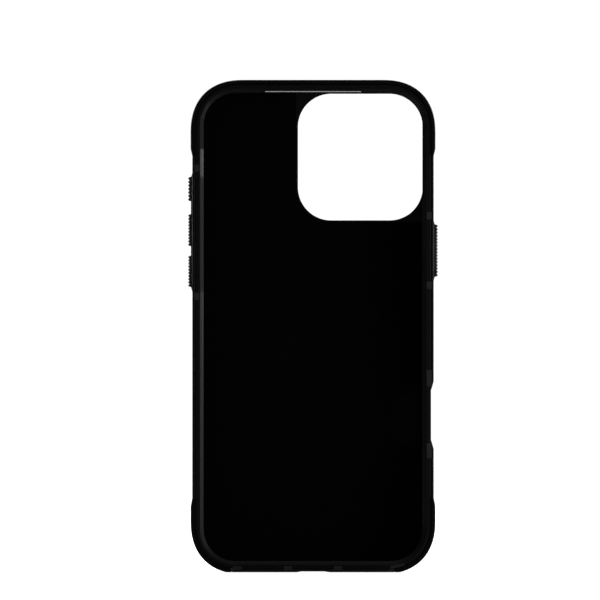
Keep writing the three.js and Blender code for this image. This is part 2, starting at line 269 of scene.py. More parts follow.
def common(piece, *tools):
    return combine(piece, tools, "INTERSECT")


def ease_edges(piece, width):
    """Rounds the sharp edges that cutting has left."""
    modifier = piece.modifiers.new("Eased edges", "BEVEL")
    modifier.width = width
    modifier.segments = 2
    modifier.limit_method = "ANGLE"
    modifier.angle_limit = EASE_ABOVE
    modifier.use_clamp_overlap = True
    modifier.miter_outer = "MITER_ARC"
    modifier.harden_normals = False
    apply_modifiers(piece)


def shade(piece, *materials):
    """Smooth shading between sharp edges, with flat faces kept flat, and the piece's finishes."""
    piece.data.materials.clear()
    for material in materials:
        piece.data.materials.append(material)
    piece.data.set_sharp_from_angle(angle=SMOOTH_BELOW)
    for polygon in piece.data.polygons:
        polygon.use_smooth = True
        polygon.material_index = 0
    modifier = piece.modifiers.new("Flat faces stay flat", "WEIGHTED_NORMAL")
    modifier.keep_sharp = True
    apply_modifiers(piece)


def place(piece, body, slot, *nodes):
    """Puts a finished piece into the frame, in place of its CAD nodes."""
    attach(piece, body)
    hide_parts(*nodes)


def body_of(node):
    """The CAD body that a node belongs to."""
    return next(body for body, members in frame["record"]["behaviour"]["bodies"].items()
                if node in members)


# ---- Sizes and colours that a user would change ----------------------------------------------

def length(name, description, default):
    return FloatProperty(name=name, description=description, default=default, min=0, precision=5,
                         subtype="DISTANCE", unit="LENGTH")


def colour(name, description, default):
    return FloatVectorProperty(name=name, description=description, default=default, size=3,
                               min=0, max=1, subtype="COLOR")


class CaseSizes(bpy.types.PropertyGroup):
    """Sizes of the case that its frame doesn't fix."""

    shell_corner: length("Shell corner", "Corner of the shell in the front view", 16.15 * MM)
    corner_power: FloatProperty(
        name="Corner softness", description="Power of the corner's curve; 2 is a plain arc",
        default=2.33, min=2, max=4)
    shell_wall: length("Shell wall", "Thickness of the shell's side wall", 0.75 * MM)
    back_edge: length("Back edge", "Rounding of the back edge all round", 1.4 * MM)
    rim_edge: length("Rim edge", "Rounding of the front rim", 0.28 * MM)
    bay_corner: length("Bay corner", "Corner of the space for the phone", 14 * MM)
    screen_corner: length("Screen corner", "Corner of the opening over the screen", 10.2 * MM)
    lip_width: length("Lip bevel width", "Width of the bevel round the screen", 1.1 * MM)
    lip_height: length("Lip bevel height", "Height of the bevel round the screen", 0.8 * MM)
    camera_corner: length("Camera corner", "Corner of the opening for the cameras", 10.5 * MM)
    guard_wall: length("Guard wall", "Thickness of the raised frame round the cameras", 1.3 * MM)
    bumper_flange: length("Bumper flange", "How far a bumper reaches over the back", 3.4 * MM)
    tooth_height: length("Tooth height", "Height of the ribs on the buttons", 0.38 * MM)
    tooth_pitch: length("Tooth pitch", "Distance between the ribs on the buttons", 1.03 * MM)
    magnet_count: IntProperty(
        name="Magnets", description="Number of magnets in the ring", default=18, min=1, max=60)


class CaseColours(bpy.types.PropertyGroup):
    """Colours of the case's finishes."""

    tray: colour("Soft tray", "Flexible black of the inner tray", (0.0042, 0.0044, 0.0047))
    shell: colour("Hard shell", "Smoke black of the outer shell", (0.0040, 0.0042, 0.0046))
    # Painted light: the tabs' paler tone stands in for light that shows through their thin plastic.
    tab: colour("Locking tabs", "Paler smoke of the shell's tabs", (0.0800, 0.0815, 0.0845))
    bumper: colour("Bumpers", "Matt black of the bumpers", (0.0105, 0.0107, 0.0112))
    guard: colour("Camera guard", "Black of the raised camera frame", (0.0065, 0.0067, 0.0072))
    button: colour("Buttons", "Black of the ribbed buttons", (0.0080, 0.0082, 0.0088))
    lining: colour("Lining", "Charcoal of the microfibre lining", (0.0036, 0.0037, 0.0040))
    nickel: colour("Magnets", "Nickel plating of the magnets", (0.42, 0.40, 0.37))
    floor: colour("Floor", "Pale studio floor", (0.80, 0.80, 0.80))


def sizes():
    return bpy.context.scene.phone_case_sizes


def colours():
    return bpy.context.scene.phone_case_colours


# ---- Drawing, worked out from the frame ------------------------------------------------------

SHELL_LOW, SHELL_HIGH = drawn_box("hard_shell")
TRAY_LOW, TRAY_HIGH = drawn_box("soft_tray")
TOP_LOW, TOP_HIGH = drawn_box("top_bumper")
FOOT_TOP = drawn_box("bottom_right_bumper")[1].y
GUARD_LOW, GUARD_HIGH = drawn_box("camera_guard")
LINING_LOW, LINING_HIGH = drawn_box("back_lining")

BUMPER_PROUD = TOP_HIGH.x - SHELL_HIGH.x
BUMPER_PLATE = 0.7 * MM       # thickness of the bumper's flange over the back
SHELL_PLATE = 1.1 * MM
TRAY_PLATE = 1.2 * MM
LINING_MARGIN = 0.6 * MM
NOTCH_PAST = 20 * MM          # how far the camera notch runs past the lining's corner
LIP_POLISH = 0.27             # roughness of the lip's polished stretches
LIP_DEPTH = 1.1 * MM          # from the rim down to the underside of the lip
LIP_FOLD = 0.25 * MM          # rounding where the rim turns down into the lip's bevel
LIP_NOSE = 0.06 * MM          # rounding of the lip's inner edge
BEVEL_SPAN = (0.25, 0.94)     # the straight part of the bevel, in shares of its width
BUMPER_FRONT_EDGE = 0.8 * MM  # how much of the back edge's rounding shows at the front
BUMPER_EASE = 0.15 * MM       # rounding of a bumper's cut ends
FLANGE_EDGE = 0.25 * MM
INNER_EDGE = 0.12 * MM        # rounding of the bumpers' and the shell's inner edges
GUARD_EDGES = {"outer": 0.5 * MM, "inner": 0.4 * MM, "front": 0.08 * MM}
TOP_FULL = 2.2 * MM           # height over which the top bumper's end runs down to the shell
FOOT_FULL = 2.6 * MM          # the same on the lower bumpers
FLANGE_SLANT = 3.2 * MM
FOOT_FLAT = 0.3 * MM          # what is cut from the shell's lower edge to stand flat
FOOT_LENGTH_END = 25.8 * MM   # where a lower bumper ends on the lower edge, from the middle

PORTS = [                     # across, length, height
    (0, 12.6 * MM, 6.8 * MM),
    (-15.75 * MM, 12.5 * MM, 2.8 * MM),
    (16.9 * MM, 14.6 * MM, 2.8 * MM),
]
TOUCH_KEY = (49.6 * MM, 16.8 * MM, 5.2 * MM)     # up, length, height
TOUCH_SCOOP = {"across": 37.27 * MM, "bottom": 41.6 * MM, "top": 57.4 * MM, "slant": 10 * MM}
PORT_SCOOP = {"half": 5.2 * MM, "floor": 3.7 * MM, "depth": 0.25 * MM}
EARPIECE = {"half": 15.1 * MM, "bottom": 151.32 * MM, "top": 151.7 * MM, "proud": 0.25 * MM}
GROOVE = {"side": 0.15 * MM, "below": 0.1 * MM, "above": 0.3 * MM, "depth": 0.2 * MM}
MOUTH = 0.3 * MM              # rounding where an opening meets the outside
TRAY_MOUTH = 0.2 * MM
WINDOW_MOUTH = 0.15 * MM
SLOT_ROUND = 0.98             # how nearly a slot's ends are half circles

TAB_ACROSS = (35.85 * MM, 37.45 * MM)
TAB_DEPTH = 0.85 * MM
TAB_CORNER = 0.2 * MM
SIDE_TABS_ABOVE = 30 * MM     # the tabs of the side walls are all higher than this
LOWER_TABS_WITHIN = 29 * MM   # those of the lower edge are all nearer the middle than this
LEFT_TABS = [(85.8 * MM, 88.1 * MM), (126.3 * MM, 128.5 * MM)]
RIGHT_TABS = [(35.9 * MM, 40.6 * MM), (58.6 * MM, 63.8 * MM), (89.2 * MM, 91.6 * MM),
              (111.2 * MM, 113.6 * MM)]
BOTTOM_TABS = [(-25.3 * MM, -22.4 * MM), (-9.2 * MM, -6.6 * MM), (6.6 * MM, 9.2 * MM)]
BOTTOM_TAB_UP = (0.5 * MM, 1.95 * MM)
CORNER_TAB = [(24.4 * MM, 0.5 * MM), (25.5 * MM, 0.5 * MM), (25.5 * MM, 1.25 * MM),
              (28.8 * MM, 2.05 * MM), (28.8 * MM, 2.8 * MM), (24.4 * MM, 1.95 * MM)]

BUTTONS = {
    "left_button_surround": ["volume_down_button", "volume_up_button", "action_button"],
    "right_button_surround": ["side_button"],
}
STEM = {"half": 1.3 * MM, "margin": 1.2 * MM, "corner": 0.5 * MM}
PAD_CORNER = 0.6 * MM         # corner of a plunger, its pocket, and a surround's window
POCKET_OUTER = 36.85 * MM     # how far a plunger's pocket reaches from the case's middle
CAP_BASE = 1.1 * MM           # from the stem's end to the underside of the cap
CAP_SKIRT = [(0.3 * MM, 0), (0.1 * MM, 0.05 * MM), (0, 0.15 * MM)]   # inset, above the underside
SHOULDER = {"drop": 0.35 * MM, "run": 0.45 * MM, "side": 0.5 * MM, "corner": 0.9 * MM}
RIB = {"drop": 0.3 * MM, "run": 0.7 * MM, "share": 0.46}   # share of the pitch, each side
RIB_FLANK = [(0, 1), (0.5, 0.66), (0.86, 0.38), (1, 0.16)]  # up one side, in shares of its size
RIB_ROOT = [(-0.7, -0.6), (-1, 0), (-0.7, 0.6)]             # what sinks into the cap
SURROUND_SLANT = 1.6 * MM     # how far a surround's ends lean in
SURROUND_CORNER = 0.7 * MM
SURROUND_EDGE = [             # inset of the sides, share of the slant, below the face
    (0.16 * MM, 0.9, 0.06 * MM), (0.28 * MM, 1.05, 0.012 * MM), (0.45 * MM, 1.2, 0),
]

RING_INNER = 22.6 * MM
RING_OUTER = 27.9 * MM
RING_POCKET = 0.2 * MM
RING_RELIEF = 1.1 * MM        # from the magnets to the fine grooves that mark them on the back
RELIEF_HALF = 0.28 * MM
RELIEF_DEPTH = 0.14 * MM
RING_STEPS = 96
KEY_CORNER = 0.3 * MM
MAGNET_FRONT = -3.45 * MM


def shell_outline():
    return Outline(SHELL_LOW.x, SHELL_HIGH.x, 0, TOP_HIGH.y - BUMPER_PROUD,
                   sizes().shell_corner, sizes().corner_power)


def bumper_outline():
    return shell_outline().inset(-BUMPER_PROUD)


def bay_outline():
    lining = Outline(LINING_LOW.x, LINING_HIGH.x, LINING_LOW.y, LINING_HIGH.y,
                     sizes().bay_corner - LINING_MARGIN, sizes().corner_power)
    return lining.inset(-LINING_MARGIN)


def screen_outline():
    return Outline(-34.5 * MM, 34.5 * MM, 3.45 * MM, 151.1 * MM, sizes().screen_corner)


def guard_outline():
    """The outside of the raised camera frame."""
    corner = sizes().camera_corner + sizes().guard_wall
    return Outline(GUARD_LOW.x, GUARD_HIGH.x, GUARD_LOW.y, GUARD_HIGH.y, corner)


def camera_outline():
    """The opening for the cameras."""
    return guard_outline().inset(sizes().guard_wall)


def phone_middle():
    """The middle of the phone's thickness, where the ports and buttons lie."""
    return (TRAY_HIGH.z - LIP_DEPTH + LINING_HIGH.z) / 2


def ring_middle():
    """How high the middle of the magnet ring is."""
    bay = bay_outline()
    return (bay.bottom + bay.top) / 2


# ---- Shader nodes ----------------------------------------------------------------------------

def connect(tree, socket, value):
    """Links an input to another node's output, or sets it to a plain value."""
    if isinstance(value, bpy.types.NodeSocket):
        tree.links.new(value, socket)
    else:
        socket.default_value = value


def feed(tree, node, **inputs):
    """Links or sets a node's inputs by their names, with _ for spaces."""
    for label, value in inputs.items():
        connect(tree, node.inputs[label.replace("_", " ")], value)


def add_node(tree, kind, **inputs):
    node = tree.nodes.new(kind)
    feed(tree, node, **inputs)
    return node


def math_node(tree, operation, *values):
    """A Math node fed by sockets or plain numbers; gives its result."""
    node = tree.nodes.new("ShaderNodeMath")
    node.operation = operation
    for socket, value in zip(node.inputs, values):
        connect(tree, socket, value)
    return node.outputs[0]


def plus(tree, first, second):
    return math_node(tree, "ADD", first, second)


def minus(tree, first, second):
    return math_node(tree, "SUBTRACT", first, second)


def times(tree, first, second):
    return math_node(tree, "MULTIPLY", first, second)


def object_place(tree):
    """Where a point is on its piece, which stands at the origin."""
    return add_node(tree, "ShaderNodeTexCoord").outputs["Object"]


def stretched(tree, vector, scale, turn=(0, 0, 0)):
    """A place turned and scaled, so that a pattern on it runs one way."""
    return add_node(tree, "ShaderNodeMapping", Vector=vector, Rotation=turn, Scale=scale).outputs[0]


def axis_of(tree, vector, axis):
    """One part of a vector."""
    return add_node(tree, "ShaderNodeSeparateXYZ", Vector=vector).outputs[axis]


def noise(tree, scale, detail, roughness, vector):
    return add_node(tree, "ShaderNodeTexNoise", Scale=scale, Detail=detail, Roughness=roughness,
                    Vector=vector).outputs[0]


def map_range(tree, value, given=(0, 1), wanted=(0, 1), smooth=False):
    """Maps one range of a socket's values onto another, and holds it at both ends."""
    node = add_node(tree, "ShaderNodeMapRange", Value=value, From_Min=given[0], From_Max=given[1],
                    To_Min=wanted[0], To_Max=wanted[1])
    node.interpolation_type = "SMOOTHSTEP" if smooth else "LINEAR"
    return node.outputs[0]


def band(tree, value, low, high, edge):
    """A mask that is 1 between two values of a socket, with soft edges."""
    rising = map_range(tree, value, (low - edge, low + edge), (0, 1), smooth=True)
    falling = map_range(tree, value, (high - edge, high + edge), (1, 0), smooth=True)
    return times(tree, rising, falling)


def scaled(base, factor):
    """A lighter or darker tone of a colour."""
    return tuple(min(1, part * factor) for part in base)


def tones(tree, mask, base, low, high):
    """A colour that a mask moves between a darker and a lighter tone of its base."""
    node = tree.nodes.new("ShaderNodeMix")
    node.data_type = "RGBA"
    tree.links.new(mask, node.inputs[0])
    for socket, tone in ((node.inputs[6], low), (node.inputs[7], high)):
        socket.default_value = (*scaled(base, tone), 1)
    return node.outputs[2]


def relief(tree, height, strength, distance):
    """A normal that follows fine relief, from a height that changes over the surface."""
    return add_node(tree, "ShaderNodeBump", Height=height, Strength=strength,
                    Distance=distance).outputs[0]


# ---- Shader node groups ----------------------------------------------------------------------

def group_tree(name, inputs, outputs):
    """An empty group of number sockets; gives it, its inputs, and the node to feed its outputs."""
    tree = bpy.data.node_groups.new(name, "ShaderNodeTree")
    add = tree.interface.new_socket
    for label, default in inputs.items():
        add(label, in_out="INPUT", socket_type="NodeSocketFloat").default_value = default
    for label in outputs:
        add(label, in_out="OUTPUT", socket_type="NodeSocketFloat")
    return tree, tree.nodes.new("NodeGroupInput").outputs, tree.nodes.new("NodeGroupOutput")


def spark_grain_group():
    """The fine texture that a spark-eroded mould leaves, with a faint cloud of handling marks."""
    tree, given, end = group_tree(
        "Spark grain", {"Grain per metre": 5200, "Cloud per metre": 60, "Cloud strength": 0.3},
        ("Height", "Shade"))
    place_of = object_place(tree)
    fine = noise(tree, given["Grain per metre"], 3, 0.62, place_of)
    pits = add_node(tree, "ShaderNodeTexVoronoi", Vector=place_of, Scale=given["Grain per metre"])
    pits.feature = "SMOOTH_F1"
    cloud = noise(tree, given["Cloud per metre"], 4, 0.55, place_of)
    swing = times(tree, minus(tree, cloud, 0.5), given["Cloud strength"])
    speck = times(tree, minus(tree, fine, 0.5), 0.35)
    feed(tree, end, Height=plus(tree, fine, times(tree, pits.outputs[0], 0.45)),
         Shade=plus(tree, plus(tree, swing, speck), 0.5))
    return tree


SCRATCH_TURNS = (0.35, 1.3, 2.4)   # the ways that scratches run, in radians
SCRATCH_STRETCH = 0.025            # how much finer they are across than along
SCRATCH_ABOVE = 0.73               # how high the noise has to be for a scratch


def hairline_group():
    """Fine straight scratches that cross at random, as on handled gloss plastic or plating."""
    tree, given, end = group_tree(
        "Hairline scratches", {"Lines per metre": 900, "Amount": 0.3}, ("Mask",))
    place_of = object_place(tree)
    marks = None
    for turn in SCRATCH_TURNS:
        lengthways = stretched(tree, place_of, (1, 1, SCRATCH_STRETCH),
                               (turn * 0.6, turn, turn * 0.4))
        streak = noise(tree, given["Lines per metre"], 2, 0.5, lengthways)
        scratch = math_node(tree, "GREATER_THAN", streak, SCRATCH_ABOVE)
        marks = math_node(tree, "MAXIMUM", marks, scratch) if marks else scratch
    feed(tree, end, Mask=times(tree, marks, given["Amount"]))
    return tree


def nap_group():
    """The short brushed pile of microfibre: tufts, and broad strokes where it was brushed."""
    tree, given, end = group_tree(
        "Microfibre nap", {"Tufts per metre": 2600, "Strokes per metre": 70}, ("Height", "Shade"))
    place_of = object_place(tree)
    tufts = noise(tree, given["Tufts per metre"], 5, 0.7,
                  stretched(tree, place_of, (1, 1, 0.45)))
    strokes = noise(tree, given["Strokes per metre"], 3, 0.5, place_of)
    feed(tree, end, Height=tufts,
         Shade=plus(tree, times(tree, tufts, 0.6), times(tree, strokes, 0.4)))
    return tree


# ---- Materials -------------------------------------------------------------------------------

def new_material(name, roughness):
    """A material with one Principled shader; gives the material, its tree and the shader."""
    material = bpy.data.materials.new(name)
    material.use_nodes = True
    tree = material.node_tree
    shader = tree.nodes["Principled BSDF"]
    shader.inputs["Roughness"].default_value = roughness
    return material, tree, shader


def add_group(tree, group, **inputs):
    """A node group in a material; gives its outputs."""
    node = tree.nodes.new("ShaderNodeGroup")
    node.node_tree = group
    feed(tree, node, **inputs)
    return node.outputs


def moulded(name, base, roughness, grain, groups, bump=0.3, swing=0.07, depth=0.00003,
            **plain):
    """Moulded plastic or rubber: one colour broken by its mould's grain."""
    material, tree, shader = new_material(name, roughness)
    texture = add_group(tree, groups["grain"], Grain_per_metre=grain)
    feed(tree, shader, Base_Color=tones(tree, texture["Shade"], base, 0.72, 1.28),
         Roughness=map_range(tree, texture["Shade"], wanted=(roughness - swing, roughness + swing)),
         Normal=relief(tree, texture["Height"], bump, depth), **plain)
    return material


def gloss_moulded(name, base, roughness, groups, scratches):
    """Glossier plastic with fine hairline scratches that dull it."""
    material, tree, shader = new_material(name, roughness)
    texture = add_group(tree, groups["grain"], Grain_per_metre=3200, Cloud_strength=0.5)
    marks = add_group(tree, groups["hairline"], Amount=scratches)
    cloudy = map_range(tree, texture["Shade"], wanted=(roughness - 0.06, roughness + 0.06))
    feed(tree, shader, Base_Color=tones(tree, texture["Shade"], base, 0.8, 1.2),
         Roughness=plus(tree, cloudy, marks["Mask"]),
         Normal=relief(tree, texture["Height"], 0.06, 0.00002))
    return material


def microfibre(name, base, groups):
    """Brushed microfibre: a dull dark cloth with a faint sheen."""
    material, tree, shader = new_material(name, 0.95)
    nap = add_group(tree, groups["nap"])
    feed(tree, shader, Base_Color=tones(tree, nap["Shade"], base, 0.55, 1.45),
         Normal=relief(tree, nap["Height"], 0.6, 0.00008),
         Specular_IOR_Level=0.12, Sheen_Weight=0.12, Sheen_Roughness=0.3)
    return material


def plating(name, base, groups):
    """Bright metal plating, clouded by handling and crossed by fine scratches."""
    material, tree, shader = new_material(name, 0.3)
    marks = add_group(tree, groups["hairline"], Lines_per_metre=1600, Amount=0.3)
    cloud = add_group(tree, groups["grain"], Grain_per_metre=2400, Cloud_per_metre=220)
    cloudy = map_range(tree, cloud["Shade"], wanted=(0.22, 0.38))
    feed(tree, shader, Metallic=1, Base_Color=tones(tree, cloud["Shade"], base, 0.8, 1.1),
         Roughness=plus(tree, cloudy, marks["Mask"]),
         Normal=relief(tree, cloud["Height"], 0.1, 0.00002))
    return material


def lip_material(base, groups):
    """The lip's rubber: polished where the shell is bare outside it, duller behind the covers."""
    material = moulded("Polished lip rubber", base, LIP_POLISH, 5200, groups, bump=0.05, swing=0.02)
    tree = material.node_tree
    roughness = tree.nodes["Principled BSDF"].inputs["Roughness"]
    up = axis_of(tree, object_place(tree), "Z")
    pad_low, pad_high = drawn_box("left_button_surround")
    screen = screen_outline()
    duller_stretches = [       # from, to, softness of both ends, how much duller
        (pad_low.y, pad_high.y - 1.5 * MM, 0.9 * MM, 0.2),
        (TOP_LOW.y + TOP_FULL, screen.top - 0.75 * screen.corner, 0.5 * MM, 0.3),
        (-1, screen.bottom + screen.corner, 3 * MM, 0.28),
    ]
    polish = roughness.links[0].from_socket
    for low, high, edge, duller in duller_stretches:
        polish = plus(tree, polish, times(tree, band(tree, up, low, high, edge), duller))
    tree.links.new(polish, roughness)
    return material


MOULDED = {       # label, colour, tone of it, roughness, grain per metre, and what sets it apart
    "tray": ("Soft tray rubber", "tray", 1, 0.58, 5200, {}),
    "earpiece": ("Polished relief rubber", "tray", 1, 0.17, 5200, {
        "bump": 0.03, "swing": 0.03, "Specular_IOR_Level": 1, "Coat_Weight": 0.8,
        "Coat_Roughness": 0.12}),
    "shell": ("Smoke shell plastic", "shell", 1, 0.44, 4200, {"bump": 0.22}),
    # The tab finish is painted light: its paler tone stands in for light showing through the tabs.
    "tab": ("Locking tab plastic", "tab", 1, 0.5, 3200, {"bump": 0.15}),
    "bumper": ("Bumper rubber", "bumper", 1, 0.72, 3600, {
        "bump": 0.55, "depth": 0.00005, "Specular_IOR_Level": 0.2}),
    "button": ("Ribbed button plastic", "button", 1, 0.6, 4200, {
        "bump": 0.35, "Specular_IOR_Level": 0.16}),
    "plunger": ("Plunger rubber", "tray", 1, 0.62, 4200, {"bump": 0.4}),
    "carrier": ("Magnet carrier plastic", "tab", 0.5, 0.55, 3000, {}),
}
FINISHES = {}                 # the finished materials, filled in when the first one is asked for


def make_materials():
    """All the finishes of the case, by name."""
    shades = colours()
    groups = {"grain": spark_grain_group(), "hairline": hairline_group(), "nap": nap_group()}
    made = {}
    for name, (label, shade_name, tone, roughness, grain, rest) in MOULDED.items():
        base = scaled(getattr(shades, shade_name), tone)
        made[name] = moulded(label, base, roughness, grain, groups, **rest)
    made["lip"] = lip_material(shades.tray, groups)
    made["guard"] = gloss_moulded("Camera guard plastic", shades.guard, 0.3, groups, 0.12)
    made["lining"] = microfibre("Microfibre lining", shades.lining, groups)
    made["nickel"] = plating("Nickel plating", shades.nickel, groups)
    return made


def finish_of(name):
    """A finish by its short name, making them all the first time."""
    if not FINISHES:
        FINISHES.update(make_materials())
    return FINISHES[name]


# ---- Openings shared by the tray and the shell -----------------------------------------------

def port_cutters(inner_face, outer_face, spare):
    """Cutters for the charging port, microphones and speakers in the lower edge."""
    tools = []
    for number, (across, wide, tall) in enumerate(PORTS):
        outline = Outline.centred((across, phone_middle()), (wide + 2 * spare, tall + 2 * spare),
                                  (tall / 2 + spare) * SLOT_ROUND)
        levels = flared(outline, inner_face, outer_face, MOUTH, outward=-1)
        tools.append(loft(f"port_{number}", levels, bottom_view, steps=10))
    return tools


def touch_key_cutter(inner_face, outer_face, flare):
    """A cutter for the opening beside the phone's touch key."""
    up, long, tall = TOUCH_KEY
    outline = Outline.centred((phone_middle(), up), (tall, long), tall / 2 * SLOT_ROUND)
    return loft("touch_key", flared(outline, inner_face, outer_face, flare), side_view, steps=10)


def tab_prisms(spare, low, high):
    """The shell's locking tabs, or with a spare gap the recesses that take them."""
    polygons = []
    near, far = TAB_ACROSS[0] - spare, TAB_ACROSS[1] + spare
    for side, places in ((-1, LEFT_TABS), (1, RIGHT_TABS)):
        for bottom, top in places:
            xs = sorted((side * near, side * far))
            polygons.append((xs[0], xs[1], bottom - spare, top + spare))
    for left, right in BOTTOM_TABS:
        polygons.append((left - spare, right + spare, BOTTOM_TAB_UP[0] - spare,
                         BOTTOM_TAB_UP[1] + spare))
    tools = []
    for number, (left, right, bottom, top) in enumerate(polygons):
        outline = Outline(left, right, bottom, top, TAB_CORNER)
        tools.append(straight(f"tab_{number}", outline, low, high, steps=3))
    middle = Vector((sum(x for x, _ in CORNER_TAB), sum(y for _, y in CORNER_TAB)))
    middle = middle / len(CORNER_TAB)
    grown = [(x + math.copysign(spare, x - middle.x), y + math.copysign(spare, y - middle.y))
             for x, y in CORNER_TAB]
    tools.append(prism("corner_tab", grown, low, high))
    return tools


# ---- Soft tray -------------------------------------------------------------------------------

def tray_blank():
    """The tray's walls, lip and back as one solid, before its openings are cut."""
    outside = shell_outline().inset(sizes().shell_wall + GAP)
    bay, screen = bay_outline(), screen_outline()
    rim, back = TRAY_HIGH.z, TRAY_LOW.z
    floor, under_lip = back + TRAY_PLATE, rim - LIP_DEPTH
    edge, fold, nose = sizes().rim_edge, LIP_FOLD, LIP_NOSE
    width, height = sizes().lip_width, sizes().lip_height
    levels = [(outside.inset(2 * edge), back)]
    levels += rounded_edge(outside, edge, back + edge, edge, -90, 0)
    levels += rounded_edge(outside, edge, rim - edge, edge, 0, 90)
    for share in (0, 1 / 3, 2 / 3, 1):
        levels.append((screen.inset(-width - fold * (1 - 2 * share) * (1 - share / 2)),
                       rim - fold * share * share * height / width))
    first, last = BEVEL_SPAN
    for step in range(1, 6):
        share = first + (last - first) * step / 5
        levels.append((screen.inset(-width * (1 - share)), rim - height * share))
    levels += [(screen.inset(0.02 * MM), rim - height - nose / 2),
               (screen.inset(0.02 * MM), under_lip + nose),
               (screen.inset(-nose * 0.3), under_lip + nose * 0.3),
               (screen.inset(-nose), under_lip)]
    levels += [(bay.inset(edge), under_lip)]
    levels += [(bay.inset(edge * 0.3), under_lip - edge * 0.3), (bay, under_lip - edge)]
    levels += rounded_edge(bay, edge, floor + edge, edge, 0, -90)
    return loft("soft_tray_moulding", levels)


def ring_cutter(name, inner, outer, low, high):
    """A flat ring round the middle of the magnets."""
    middle = ring_middle()
    rows = []
    for radius, height in ((inner, low), (outer, low), (outer, high), (inner, high)):
        angles = [2 * math.pi * step / RING_STEPS for step in range(RING_STEPS)]
        rows.append([front_view(radius * math.cos(angle), middle + radius * math.sin(angle), height)
                     for angle in angles])
    return new_piece(name, lambda work: skin(work, rows, True))


def earpiece_ridge():
    """The fine polished ridge in the lip that faces up, over the earpiece."""
    half, bottom, top = EARPIECE["half"], EARPIECE["bottom"], EARPIECE["top"]
    rim, proud = TRAY_HIGH.z, EARPIECE["proud"]
    profile = [(bottom, rim - MM / 2), (top + GAP, rim - MM / 2), (top, rim - 0.04 * MM),
               (bottom + 0.05 * MM, rim + proud), (bottom, rim + proud - 0.05 * MM)]
    rows = [[front_view(across, up, out) for up, out in profile] for across in (-half, half)]
    return new_piece("ridge", lambda work: skin(work, rows, False))


def button_pockets():
    """Cutters in the tray's walls for each button's plunger and stem."""
    tools = []
    for cap in (cap for caps in BUTTONS.values() for cap in caps):
        plunger = WallPiece(f"{cap}_plunger")
        outline = plunger.outline(PAD_CORNER, RUN_GAP)
        tools.append(plunger.loft(
            f"{cap}_pocket", [(outline, plunger.near - PAST), (outline, POCKET_OUTER)], steps=5))
        tools.append(stem_solid(f"{cap}_passage", cap, RUN_GAP, bay_outline().right, SHELL_HIGH.x))
    return tools


def ridge_groove():
    """The cutter for the groove that the ridge stands in."""
    reach = EARPIECE["half"] + GROOVE["side"]
    outline = Outline(-reach, reach, EARPIECE["bottom"] - GROOVE["below"],
                      EARPIECE["top"] + GROOVE["above"], 0.1 * MM)
    return straight("ridge_groove", outline, TRAY_HIGH.z - GROOVE["depth"], TRAY_HIGH.z + PAST,
                    steps=3)


def magnet_pockets():
    """Cutters in the tray's back for the ring of magnets and the alignment magnet."""
    low, high = drawn_box("alignment_magnet")
    key = Outline(low.x - GAP, high.x + GAP, low.y - GAP, high.y + GAP, KEY_CORNER)
    floor, roof = TRAY_LOW.z - PAST, MAGNET_FRONT + GAP
    return [ring_cutter("ring_pocket", RING_INNER - RING_POCKET, RING_OUTER + RING_POCKET,
                        floor, roof),
            straight("key_pocket", key, floor, roof, steps=3)]


class CASE_OT_soft_tray(bpy.types.Operator):
    """Makes the flexible tray that holds the phone, with the lip round its screen"""

    bl_idname = "phone_case.soft_tray"
    bl_label = "Soft tray"

    def execute(self, context):
        tray = tray_blank()
        rim, back = TRAY_HIGH.z, TRAY_LOW.z
        bay = bay_outline()
        inner_wall = SHELL_HIGH.x - sizes().shell_wall
        cut(tray,
            straight("camera_hole", camera_outline(), back - PAST, back + TRAY_PLATE + PAST),
            ridge_groove(), touch_key_cutter(bay.right - PAST, SHELL_HIGH.x, TRAY_MOUTH),
            *magnet_pockets(),
            *port_cutters(bay.bottom + PAST, inner_wall - SHELL_HIGH.x, GAP),
            *button_pockets(),
            *tab_prisms(GAP, rim - TAB_DEPTH - GAP, rim + PAST))
        join(tray, earpiece_ridge())
        shade(tray, finish_of("tray"), finish_of("lip"), finish_of("earpiece"))
        self.dress(tray)
        place(tray, body_of("soft_tray"), "tray_tpu", "soft_tray")
        return {"FINISHED"}

    def dress(self, tray):
        """Gives the lip and the ridge their more polished finishes."""
        rim = TRAY_HIGH.z
        screen, reach = screen_outline(), sizes().lip_width
        for polygon in tray.data.polygons:
            across, up, out = polygon.center.x, polygon.center.z, -polygon.center.y
            on_ridge = (abs(across) < EARPIECE["half"] + GAP
                        and EARPIECE["bottom"] - GAP < up < EARPIECE["top"] + GAP
                        and out > rim - GROOVE["depth"] + 0.01 * MM
                        and polygon.normal.z > 0.3)
            inside = (screen.left - reach < across < screen.right + reach
                      and screen.bottom - reach < up < screen.top + reach)
            on_lip = inside and rim - sizes().lip_height < out < rim - 0.02 * MM
            if on_ridge:
                polygon.material_index = 2
            elif on_lip and abs(polygon.normal.y) < 0.97 and polygon.normal.y < -0.2:
                polygon.material_index = 1


# ---- Hard shell ------------------------------------------------------------------------------

def bumper_room():
    """The space that the ring of bumpers takes from the shell, with a gap all round."""
    shell, bumper = shell_outline(), bumper_outline()
    flange = TOP_LOW.z + BUMPER_PLATE + GAP
    wall, opening = sizes().shell_wall + GAP, sizes().bumper_flange + GAP
    low, high = TOP_LOW.z - PAST, TOP_HIGH.z + PAST
    levels = [(bumper.inset(-PAST), low), (bumper.inset(opening), low),
              (bumper.inset(opening), flange), (shell.inset(wall), flange),
              (shell.inset(wall), high), (bumper.inset(-PAST), high)]
    return loft("bumper_room", levels, closed=True)


def top_zone(spare):
    """The stretch that the top bumper covers, with slanted ends."""
    waist, beyond = TOP_LOW.y - spare, TOP_HIGH.x + 2 * PAST
    inner = SHELL_HIGH.x - sizes().shell_wall - GAP
    right = [(inner - FLANGE_SLANT, waist + FLANGE_SLANT), (inner, waist),
             (SHELL_HIGH.x, waist), (TOP_HIGH.x, waist + TOP_FULL), (beyond, waist + TOP_FULL),
             (beyond, TOP_HIGH.y + 2 * PAST)]
    return right + [(-x, y) for x, y in reversed(right)]


